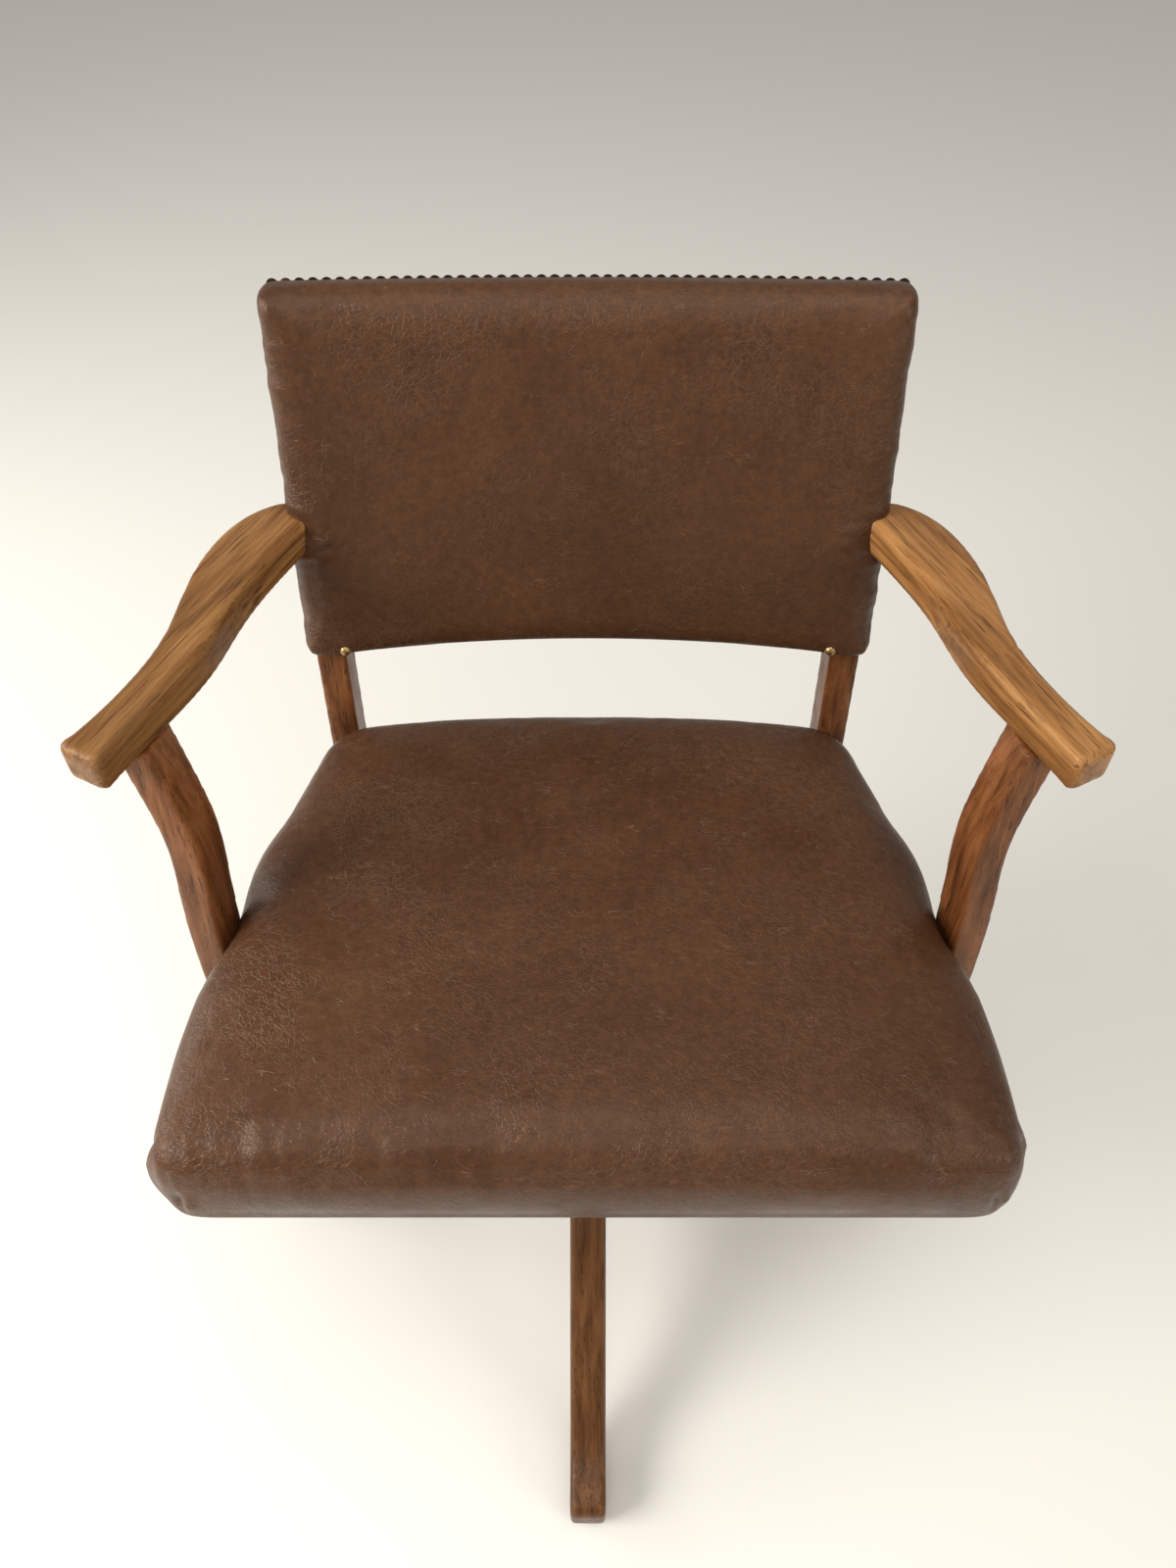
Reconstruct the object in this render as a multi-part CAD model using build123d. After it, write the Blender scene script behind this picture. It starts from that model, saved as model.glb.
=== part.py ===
"""Swivel office chair: oak sabre-leg base, screw column, tilt iron, upholstered seat and back.

Origin on the floor under the column; +X to the right seen from the front, -Y forwards, +Z up; mm.
"""
import os
from math import cos, radians, sin, sqrt

from build123d import *

# Base
TOE_R = 295.0
LEG_T = 30.0
HUB_FLATS = 90.0
HUB_LOW, HUB_HIGH = 95.0, 235.0
GLIDE_R = 268.0
GLIDE_H = 6.0
PLATE_T = 4.0
SLEEVE_R = 17.5

# Column
SCREW_R = 12.5
RUN = 0.05
THREAD = 5.0
THREAD_DEPTH = 1.2
RISE = 80.0
KEY_LOW, KEY_HIGH = 200.0, 230.0
COLLAR_LOW, COLLAR_HIGH = 275.0, 281.0
JOURNAL_R = 11.0
JOURNAL_TOP = 340.3
STUD_R = 7.0

# Tilt iron
AXLE_Z = 372.0
AXLE_R = 6.0
SPRING_X, SPRING_Y = 30.0, 75.0
BRIDGE_LOW, BRIDGE_TOP = 318.0, 328.0
CUP_Z = 391.0
PLATE_LOW, PLATE_TOP = 394.0, 400.0

# Seat
SEAT_FRONT, SEAT_REAR = -196.0, 203.0
SEAT_LOW, SEAT_TOP = 400.0, 488.0
RAIL_TOP = 446.0
SKIN = 2.0
PAD = 10.0
RAIL_T = 22.0
CROWN_R = 2200.0
SEAT_ROLL = 20.0
SEAT_CORNER = 25.0

# Posts, arms and back
POST_IN, POST_OUT = 191.0, 215.0
POST_X = 198.0
ARM_LOW, ARM_TOP = 632.0, 660.0
BACK_LEAN = 13.0
BACK_Y, BACK_Z = 190.0, 545.0
BACK_HALF = 217.0
BACK_LOW, BACK_HIGH = 5.0, 272.0
BACK_REAR = 42.0
ARCH = 8.0
BOW_R = 1817.0
STUD_PITCH = 9.0


def block(x0, x1, y0, y1, z0, z1):
    """Rectangular block between two opposite corners."""
    centre = Pos((x0 + x1) / 2, (y0 + y1) / 2, (z0 + z1) / 2)
    return centre * Box(x1 - x0, y1 - y0, z1 - z0)


def rod(radius, low, high, x=0.0, y=0.0):
    """Upright round bar."""
    return Pos(x, y, (low + high) / 2) * Cylinder(radius, high - low)


def rod_x(radius, start, end, y, z):
    """Round bar along X."""
    return Pos((start + end) / 2, y, z) * Rot(0, 90, 0) * Cylinder(radius, end - start)


def rod_y(radius, start, end, x, z):
    """Round bar along Y."""
    return Pos(x, (start + end) / 2, z) * Rot(90, 0, 0) * Cylinder(radius, end - start)


def other_side(shape):
    """The same shape on the left-hand side."""
    return mirror(shape, about=Plane.YZ)


def both_sides(shape):
    """A right-hand shape together with its left-hand twin."""
    return [shape, other_side(shape)]


def group(shapes):
    """Several separate solids kept as one item."""
    solids = []
    for shape in shapes:
        solids.extend(shape.solids())
    return Compound(children=solids)


def cut(part, tools):
    """Part with every tool taken away."""
    for tool in tools:
        part = part - tool
    return part


def largest(part):
    """The main solid of a cut part, without loose crumbs."""
    return max(part.solids(), key=lambda solid: solid.volume)


def turned(points):
    """Solid of revolution about Z from (radius, height) points."""
    outline = Polyline(*[(r, 0, z) for r, z in points], close=True)
    return revolve(make_face(outline), Axis.Z)


# ---------------------------------------------------------------- base


def leg_dowels():
    """Two radial dowels behind each leg."""
    pegs = []
    for quarter in range(4):
        for height in (135.0, 190.0):
            pegs.append(Rot(0, 0, 90 * quarter) * rod_x(5.0, 24.0, 74.0, 0.0, height))
    return pegs


def glides():
    """Domed steel glide with its nail under each toe."""
    dome = turned([(0, 0), (8.0, 0), (10.5, 1.5), (11.0, GLIDE_H), (2.0, GLIDE_H), (2.0, 26.0), (0, 26.0)])
    return [Rot(0, 0, 90 * quarter) * Pos(GLIDE_R, 0, 0) * dome for quarter in range(4)]


def plate_screws():
    """Countersunk screws holding the top and bottom plates to the hub."""
    top = turned([(0, 213), (2.5, 213), (2.5, 236), (4.8, 239), (0, 239)])
    bottom = turned([(0, 91), (4.8, 91), (2.5, 94), (2.5, 117), (0, 117)])
    screws = []
    for quarter in range(4):
        turn = Rot(0, 0, 45 + 90 * quarter)
        screws.append(turn * Pos(30.0, 0, 0) * top)
        screws.append(turn * Pos(28.0, 0, 0) * bottom)
    return screws


def hub():
    """Eight-sided oak block bored for the guide sleeve."""
    section = Rot(0, 0, 22.5) * RegularPolygon(HUB_FLATS / 2, 8, major_radius=False)
    body = Pos(0, 0, HUB_LOW) * extrude(section, HUB_HIGH - HUB_LOW)
    ends = body.faces().sort_by(Axis.Z)
    body = chamfer(ends[0].edges() + ends[-1].edges(), 2.0)
    return cut(body - rod(SLEEVE_R, HUB_LOW - 1, HUB_HIGH + 1), leg_dowels() + plate_screws())


def leg(angle):
    """Sabre leg: shouldered at the hub, swept down to a flat toe."""
    start = HUB_FLATS / 2
    upper = Spline((start, 215), (98, 200), (160, 143), (210, 88), (250, 53), (284, 44))
    nose = ThreePointArc((284, 44), (292, 41), (TOE_R, 33))
    front = Line((TOE_R, 33), (TOE_R, 12))
    chin = ThreePointArc((TOE_R, 12), (TOE_R - 1.8, 7.8), (TOE_R - 6, GLIDE_H))
    sole = Line((TOE_R - 6, GLIDE_H), (246, GLIDE_H))
    lower = Spline((246, GLIDE_H), (206, 40), (158, 84), (104, 107), (start, 112))
    end = Line((start, 112), (start, 215))
    side = make_face([upper, nose, front, chin, sole, lower, end])
    body = Pos(0, LEG_T / 2, 0) * Rot(90, 0, 0) * extrude(side, LEG_T)
    cheeks = body.faces().filter_by(Axis.Y)
    rims = [e for face in cheeks for e in face.edges() if e.center().X > start + 1]
    body = fillet(rims, 3.0)
    pegs = leg_dowels()[:2] + glides()[:1]
    return Rot(0, 0, angle) * cut(body, pegs)


def round_plate(radius, low, high, hole):
    """Flat steel disc with a centre hole, screwed to the hub."""
    return cut(rod(radius, low, high) - rod(hole, low - 1, high + 1), plate_screws())


def key_slot():
    """Space taken by the key in the sleeve wall."""
    return block(-3.0, 3.0, 9.4, SLEEVE_R - 0.3, KEY_LOW, KEY_HIGH)


def guide_sleeve():
    """Steel tube that guides the spindle, slotted for the key."""
    low, high = HUB_LOW - PLATE_T, HUB_HIGH + PLATE_T
    return rod(SLEEVE_R, low, high) - rod(SCREW_R + RUN, low - 1, high + 1) - key_slot()


# -------------------------------------------------------------- column


def handwheel():
    """Cast handwheel: threaded boss, four spokes and a scalloped rim."""
    low = HUB_HIGH + PLATE_T + 3.2
    boss = turned([(0, low), (25, low), (25, 258), (20, 262), (20, 274.5), (0, 274.5)])
    rim = turned([(45, 246), (48, 243), (54, 243), (58, 247), (58, 253), (54, 257), (48, 257), (45, 254)])
    wheel = boss + rim
    for quarter in range(4):
        wheel += Rot(0, 0, 45 + 90 * quarter) * block(20, 50, -6, 6, 245, 255)
    for step in range(12):
        wheel -= Rot(0, 0, 30 * step) * rod(5.0, 240, 260, 61.0, 0)
    return wheel - rod(SCREW_R + RUN, 240, 276)


def spindle():
    """Threaded spindle with keyway, collar, swivel journal and top stud."""
    points = [(0, 60), (SCREW_R - 2, 60), (SCREW_R, 62)]
    for turn in range(32):
        base = 112 + THREAD * turn
        points.append((SCREW_R, base))
        points.append((SCREW_R - THREAD_DEPTH, base + 1.5))
        points.append((SCREW_R, base + 3.0))
    points += [(SCREW_R, COLLAR_LOW), (20, COLLAR_LOW), (20, COLLAR_HIGH), (JOURNAL_R, COLLAR_HIGH)]
    points += [(JOURNAL_R, JOURNAL_TOP), (STUD_R, JOURNAL_TOP), (STUD_R, 360), (STUD_R - 1, 361), (0, 361)]
    keyway = block(-3.3, 3.3, 9.1, SCREW_R + 1, KEY_LOW - RISE - 0.5, KEY_HIGH + 1)
    return turned(points) - keyway


def washer(inner, outer, low, high):
    """Flat ring."""
    return rod(outer, low, high) - rod(inner, low - 1, high + 1)


def castle_nut():
    """Slotted hexagon nut on the top stud."""
    low = JOURNAL_TOP + 3
    nut = Pos(0, 0, low) * extrude(RegularPolygon(12, 6, major_radius=False), 12)
    for step in range(3):
        nut -= Rot(0, 0, 60 * step) * block(-15, 15, -1.6, 1.6, low + 8, low + 13)
    return nut - rod(STUD_R, low - 1, low + 13)


# ----------------------------------------------------------- tilt iron


def swivel_iron():
    """Boss, yoke for the axle, front stop arm and rear screw arm."""
    low = COLLAR_HIGH + 3.3
    body = rod(23, low, 340) + block(-55, 55, -18, 18, 300, 316)
    for side in (-1, 1):
        body += block(side * 50 - 5, side * 50 + 5, -18, 18, 300, AXLE_Z - 8)
        body += rod_x(16, side * 50 - 5, side * 50 + 5, 0, AXLE_Z)
    body += block(-10, 10, -76, -15, 300, 314) + block(-10, 10, -76, -60, 300, 380)
    body += block(-14, 14, 15, 76, 300, 312) + rod(14, 300, 312, 0, SPRING_Y)
    body -= rod(14, low - 1, 341)
    body -= rod(5 + RUN, 299, 313, 0, SPRING_Y)
    return body - rod_x(AXLE_R, -60, 60, 0, AXLE_Z) - rod(4, 372, 381, 0, -68)


def stop_buffer():
    """Rubber pad with its plug in the front stop arm."""
    return rod(9, 380, PLATE_LOW - 0.3, 0, -68) + rod(4, 372, 380, 0, -68)


def axle_pins():
    """Split pins through the axle ends."""
    return [rod(1.5, AXLE_Z - 11, AXLE_Z + 11, x) for x in (-72.0, 72.0)]


def tilt_axle():
    """Cross axle through yoke and cradle."""
    return cut(rod_x(AXLE_R, -76, 76, 0, AXLE_Z), axle_pins())


def axle_washers():
    """Washers between the cradle ears and the split pins."""
    ring = rod_x(12, 67.4, 70.2, 0, AXLE_Z) - rod_x(AXLE_R, 66, 72, 0, AXLE_Z)
    return both_sides(ring)


def tension_screw():
    """Adjusting screw with its bearing collar."""
    points = [(0, 272), (5, 272), (5, 312.3), (9, 312.3), (9, 316), (5, 316)]
    for turn in range(12):
        base = 318 + 2.0 * turn
        points += [(5, base), (4.5, base + 0.8), (5, base + 1.6)]
    points += [(5, 344), (4, 345), (0, 345)]
    return Pos(0, SPRING_Y, 0) * turned(points)


def tension_knob():
    """Fluted knob on the lower end of the adjusting screw."""
    knob = turned([(0, 268), (14, 268), (18, 271), (18, 288), (12, 294), (0, 294)])
    for step in range(8):
        knob -= Rot(0, 0, 45 * step) * rod(3.5, 266, 296, 20.0, 0)
    return Pos(0, SPRING_Y, 0) * (knob - rod(5, 272, 296))


def spring_bridge():
    """Nut plate that carries both springs."""
    body = block(-47, 47, SPRING_Y - 16, SPRING_Y + 16, BRIDGE_LOW, BRIDGE_TOP)
    body = fillet(body.edges().filter_by(Axis.Z), 10)
    for side in (-1, 1):
        body += rod(9, BRIDGE_TOP, BRIDGE_TOP + 6, side * SPRING_X, SPRING_Y)
    return body - rod(5 + RUN, 317, 340, 0, SPRING_Y)


def tilt_spring(side):
    """Open coil spring between bridge and cradle cup."""
    wire = 4.5
    low = BRIDGE_TOP + wire / 2 + 0.1
    high = CUP_Z - wire / 2 - 0.1
    coil = Helix((high - low) / 6, high - low, 14.0)
    start = Plane(origin=coil @ 0, z_dir=coil % 0)
    wound = sweep(start * Circle(wire / 2), path=coil, is_frenet=True)
    return Pos(side * SPRING_X, SPRING_Y, low) * wound


def cradle_screws():
    """Round-head screws up through the cradle plate into the bearers."""
    screw = turned([(0, PLATE_LOW - 3), (3.5, PLATE_LOW - 3), (5, PLATE_LOW), (2.5, PLATE_LOW),
                    (2.5, PLATE_TOP + 20), (0, PLATE_TOP + 20)])
    return [Pos(x, y, 0) * screw for x in (-73.0, 73.0) for y in (-80.0, -30.0, 40.0, 98.0)]


def tilt_cradle():
    """Plate under the seat with two axle ears and two spring cups."""
    body = block(-87, 87, -95, 112, PLATE_LOW, PLATE_TOP)
    body = fillet(body.edges().filter_by(Axis.Z), 14)
    for side in (-1, 1):
        body += block(side * 62 - 5, side * 62 + 5, -16, 16, AXLE_Z, PLATE_LOW + 1)
        body += rod_x(16, side * 62 - 5, side * 62 + 5, 0, AXLE_Z)
        body += rod(19, CUP_Z, PLATE_LOW + 1, side * SPRING_X, SPRING_Y)
        body += rod(9, CUP_Z - 6, CUP_Z, side * SPRING_X, SPRING_Y)
    return cut(body - rod_x(AXLE_R + RUN, -70, 70, 0, AXLE_Z), cradle_screws())


# ---------------------------------------------------------------- seat


def seat_plan(inset):
    """Plan of the seat, sharp-cornered, drawn in by the given amount all round."""
    front = SEAT_FRONT + inset
    wide = 283.0 - inset
    heel_x, heel_y = 211.0 - inset, 191.0 - inset
    flank = [(wide, front), (277 - inset, -80), (257 - inset, 40), (238 - inset, 104), (heel_x, heel_y)]
    edge = Line((-wide, front), (wide, front))
    right = Spline(*flank)
    rear = ThreePointArc((heel_x, heel_y), (0, SEAT_REAR - inset), (-heel_x, heel_y))
    left = Spline(*[(-x, y) for x, y in reversed(flank)])
    return make_face([edge, right, rear, left])


def seat_prism(inset, low, high):
    """Upright block of the seat plan with rounded corners."""
    body = Pos(0, 0, low) * extrude(seat_plan(inset), high - low)
    return fillet(body.edges().filter_by(Axis.Z), max(SEAT_CORNER - inset, 4.0))


def seat_loaf(inset, low):
    """Crowned seat body with a rolled top edge."""
    top = SEAT_TOP - inset
    dome = Pos(0, 0, top - CROWN_R) * Sphere(CROWN_R)
    body = seat_prism(inset, low, top) & dome
    rim = body.faces().sort_by(Axis.Z)[-1].edges()
    return fillet(rim, SEAT_ROLL - inset)


def rail_ring():
    """Ring of the four seat rails before they are parted."""
    outer = SKIN + PAD - 2
    ring = seat_prism(outer, SEAT_LOW + SKIN, RAIL_TOP)
    return ring - seat_prism(outer + RAIL_T, SEAT_LOW, RAIL_TOP + 1)


def seat_rail(which):
    """One seat rail: front, rear, left or right."""
    front_line = SEAT_FRONT + PAD + RAIL_T
    rear_line = SEAT_REAR - PAD - RAIL_T - 13
    zones = {
        "front": block(-300, 300, -250, front_line, 390, 460),
        "rear": block(-300, 300, rear_line, 250, 390, 460),
        "left": block(-300, 0, front_line, rear_line, 390, 460),
        "right": block(0, 300, front_line, rear_line, 390, 460),
    }
    return cut(largest(rail_ring() & zones[which]), support_bolts() + post_bolts())


def seat_bearers():
    """Two bearers from front rail to rear rail."""
    inset = PAD + RAIL_T
    bars = []
    for side in (-1, 1):
        bar = block(side * 73 - 13, side * 73 + 13, -250, 250, SEAT_LOW, SEAT_LOW + 26)
        bars.append(largest(cut(bar & seat_prism(inset, 390, 460), cradle_screws())))
    return bars


def corner_blocks():
    """Glued blocks inside the four frame corners."""
    room = seat_prism(PAD + RAIL_T, SEAT_LOW + 10, RAIL_TOP - 6)
    blocks = []
    for x, y in ((250, -164), (182, 158)):
        wedge = Pos(x, y, 425) * Rot(0, 0, 45) * Box(58, 58, 60)
        piece = largest(cut(room & wedge, support_bolts() + post_bolts()))
        blocks += both_sides(piece)
    return blocks


def seat_webbing():
    """Crossed webbing straps over the rails."""
    room = seat_prism(PAD + 4, RAIL_TOP, RAIL_TOP + 3)
    straps = []
    for x in (-176, -88, 0, 88, 176):
        straps.append(room & block(x - 25, x + 25, -250, 250, RAIL_TOP, RAIL_TOP + 1.5))
    for y in (-125, -50, 25, 100):
        straps.append(room & block(-300, 300, y - 25, y + 25, RAIL_TOP + 1.5, RAIL_TOP + 3))
    return straps


def seat_padding():
    """Wadding over the webbing and down the outside of the rails."""
    pad = seat_loaf(SKIN, SEAT_LOW + SKIN) - seat_prism(PAD, SEAT_LOW, RAIL_TOP + 3)
    return largest(cut(pad, seat_guests()))


def seat_cover():
    """Leather stretched over the wadding and turned under the rails."""
    shell = seat_loaf(0, SEAT_LOW) - seat_loaf(SKIN, SEAT_LOW + SKIN)
    shell -= seat_prism(26, SEAT_LOW - 1, SEAT_LOW + SKIN + 1)
    return largest(cut(shell, seat_guests()))


def seat_guests():
    """Everything that passes through or presses into the upholstery of the seat."""
    woods = both_sides(support_blank()) + both_sides(post_blank())
    return woods + support_bolts() + post_bolts()


def dust_cover():
    """Black cloth under the seat, cut out round the cradle."""
    sheet = seat_prism(8, SEAT_LOW - 1.2, SEAT_LOW) - block(-88, 88, -96, 113, 390, 401)
    return sheet


# ------------------------------------------------------ arms and posts


def back_frame(shape):
    """Carry a shape from the upright back frame to its leaning place."""
    return Pos(0, BACK_Y, BACK_Z) * Rot(-BACK_LEAN, 0, 0) * shape


def leaning(y, z):
    """Point (Y, Z) in space of a point of the leaning back frame."""
    lean = radians(BACK_LEAN)
    return (BACK_Y + z * sin(lean) + y * cos(lean), BACK_Z + z * cos(lean) - y * sin(lean))


def post_blank():
    """Right back post: sloping foot, kink under the back, rebated upper part."""
    top = BACK_HIGH - SKIN
    points = [(183.0, 402.0), leaning(10, 7), leaning(10, top), leaning(27, top), leaning(27, BACK_LOW)]
    points += [leaning(42, BACK_LOW - 1), (215.5, 402.0)]
    side = make_face(Polyline(*[(POST_IN, y, z) for y, z in points], close=True))
    bar = extrude(side, POST_OUT - POST_IN, dir=(1, 0, 0))
    crest = bar.edges().filter_by(lambda e: e.center().X > POST_OUT - 0.1).sort_by(Axis.Z)[-1]
    return chamfer(crest, 6.0)


def post():
    """Right back post with its screw holes."""
    return cut(post_blank(), arm_screws()[:1] + post_bolts()[::2])


def arm_blank():
    """Right arm board: wide at the post, waisted, flared out to a blunt end."""
    outer = Spline((229, 236), (250, 219), (267, 184), (274.5, 142), (277.5, 88), (291, 38), (311, -4))
    cheek = ThreePointArc((311, -4), (315, -12), (309, -18))
    blunt = Line((309, -18), (294, -26))
    chin = ThreePointArc((294, -26), (289, -26), (286, -21))
    inner = Spline((286, -21), (266, 27), (247, 76), (236.5, 125), (217, 184), (205, 212))
    rear = Polyline((205, 212), (POST_X, 214), (POST_X, 236), (229, 236))
    plan = make_face([outer, cheek, blunt, chin, inner, rear])
    board = Pos(0, 0, ARM_LOW) * extrude(plan, ARM_TOP - ARM_LOW)
    rims = [e for e in board.edges() if e.center().Y < 200 and abs(e.center().Z - 646) > 10]
    return fillet(rims, 4.0)


def arm():
    """Right arm notched round the post."""
    return largest(cut(arm_blank(), [post_blank()] + arm_screws()[:1] + arm_dowels()[:1]))


def support_blank():
    """Right arm support: slim curved upright outside the seat."""
    outer = Spline((286, 385), (287.5, 450), (285.5, 500), (282.5, 547), (288, 590), (300, 650))
    inner = Spline((276, 650), (264, 590), (258.5, 547), (260.5, 500), (263, 450), (262, 385))
    face = make_face([outer, Line((300, 650), (276, 650)), inner, Line((262, 385), (286, 385))])
    bar = Rot(90, 0, 0) * extrude(face, 35)
    bar = Pos(0, 35, 0) * bar
    rims = [e for e in bar.edges() if e.length > 200]
    bar = fillet(rims, 3.0)
    placed = Pos(275, -13.5, 465) * Rot(-5.7, 0, 9) * Pos(-275, 0, -465) * bar
    return placed & block(200, 360, -100, 120, 405, ARM_LOW)


def support():
    """Right arm support with bolt and dowel holes."""
    return largest(cut(support_blank(), support_bolts()[::2] + arm_dowels()[:1]))


def support_bolts():
    """Bolts from inside the seat rails into the arm supports."""
    bolts = []
    for height in (414.0, 434.0):
        bolt = rod_x(3.0, 224, 277, 3.0, height) + rod_x(6.0, 224, 228, 3.0, height)
        bolts += both_sides(bolt)
    return bolts


def post_bolts():
    """Coach screws through the posts into the rear corners of the frame."""
    bolts = []
    for height in (414.0, 434.0):
        bolt = rod_y(3.0, 152, 219, POST_X, height) + rod_y(6.5, 215, 221.5, POST_X, height)
        bolts += both_sides(bolt)
    return bolts


def arm_screws():
    """Hidden screws from arm into post."""
    return both_sides(rod_x(2.5, 196, 224, 231, 646) + rod_x(4.5, 220, 224, 231, 646))


def arm_dowels():
    """Dowels joining supports and arms."""
    return both_sides(rod(4.5, 610, 650, 281, 21))


# ---------------------------------------------------------------- back


def bow(half):
    """How far the back's curve falls forward at a distance from the middle."""
    return BOW_R - sqrt(BOW_R ** 2 - half ** 2)


def arc_slab(half, front, rear, low, high):
    """Upright curved slab in the back frame, front and rear given at the middle."""
    drop = bow(half)
    near = ThreePointArc((-half, front - drop), (0, front), (half, front - drop))
    right = Line((half, front - drop), (half, rear - drop))
    far = ThreePointArc((half, rear - drop), (0, rear), (-half, rear - drop))
    left = Line((-half, rear - drop), (-half, front - drop))
    return Pos(0, 0, low) * extrude(make_face([near, right, far, left]), high - low)


def arch_rise(x):
    """Rise of the back's lower edge at a distance from the middle."""
    return ARCH * max(0.0, 1 - (x / POST_IN) ** 2)


def arch_space(inset):
    """Space under the arched lower edge of the back, between the posts."""
    low = BACK_LOW + inset
    curve = ThreePointArc((-POST_IN, low), (0, low + ARCH), (POST_IN, low))
    sides = Polyline((POST_IN, low), (POST_IN, low - 40), (-POST_IN, low - 40), (-POST_IN, low))
    return Pos(0, 80, 0) * Rot(90, 0, 0) * extrude(make_face([curve, sides]), 140)


def back_loaf(inset):
    """Whole upholstered back, drawn in by the given amount."""
    body = arc_slab(BACK_HALF - inset, inset + 7, BACK_REAR - inset, BACK_LOW + inset, BACK_HIGH - inset)
    uprights = [e for e in body.edges().filter_by(Axis.Z) if e.center().Y < 10]
    body = fillet(uprights, 9.0 - inset)
    front = body.faces().sort_by(Axis.Z)[-1].edges()
    rims = [e for e in front if e.center().Y < 20]
    return fillet(rims, 7.0 - inset) - arch_space(inset)


def rear_zone():
    """Space of the rear leather panel."""
    return arc_slab(BACK_HALF + 5, BACK_REAR - SKIN, 70, -20, 300)


def back_cover():
    """Leather over the front, sides, top and bottom of the back."""
    shell = back_loaf(0) - back_loaf(SKIN) - rear_zone()
    return largest(cut(back_frame(shell), back_guests()))


def outer_back():
    """Leather panel over the rear of the back."""
    return back_frame(back_loaf(0) & rear_zone())


def back_hessian():
    """Hessian stretched over posts and rails under the wadding."""
    sheet = arc_slab(POST_OUT - 6, 17, 19, BACK_LOW + SKIN, BACK_HIGH - SKIN)
    return largest(cut(back_frame(sheet - arch_space(SKIN)), back_guests()))


def back_padding():
    """Wadding in front of the hessian."""
    pad = back_loaf(SKIN) - arc_slab(BACK_HALF, 17, 70, 0, 300)
    return largest(cut(back_frame(pad), back_guests()))


def back_guests():
    """Woods that pass through the upholstery of the back."""
    return both_sides(arm_blank()) + both_sides(post_blank())


def back_rail(low, high):
    """Curved rail between the posts."""
    bar = arc_slab(POST_IN + 3, 19, BACK_REAR - SKIN, low, high)
    rail = back_frame(bar - arch_space(SKIN))
    return largest(rail & block(-POST_IN, POST_IN, 0, 400, 500, 900))


def dome_stud(radius, height, shank):
    """Domed nail pointing along -Y, head at the origin."""
    head = (radius ** 2 + height ** 2) / (2 * height)
    cap = (Pos(0, 0, height - head) * Sphere(head)) & rod(radius, 0, height)
    return Rot(-90, 0, 0) * (cap + rod(0.9, -shank, 0.2))


def rear_depth(x):
    """Depth of the rear face of the back at a given distance from the middle."""
    return BACK_REAR - bow(x)


def rear_studs():
    """Close row of nails all round the rear panel."""
    half = 212.0
    low, high = BACK_LOW + 5, BACK_HIGH - 2
    across = int(2 * half / STUD_PITCH)
    upright = int((high - low) / STUD_PITCH)
    places = []
    for step in range(across + 1):
        x = -half + 2 * half * step / across
        places += [(x, low + arch_rise(x)), (x, high)]
    for step in range(1, upright):
        z = low + (high - low) * step / upright
        places += [(-half, z), (half, z)]
    nail = dome_stud(4.3, 3.2, 5.0)
    return [back_frame(Pos(x, rear_depth(x), z) * nail) for x, z in places]


def corner_studs():
    """Single nail at each lower front corner of the back."""
    nail = Rot(0, 0, 180) * dome_stud(4.5, 3.0, 6.0)
    return both_sides(back_frame(Pos(188, -2.6, BACK_LOW + 5) * nail))


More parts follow.
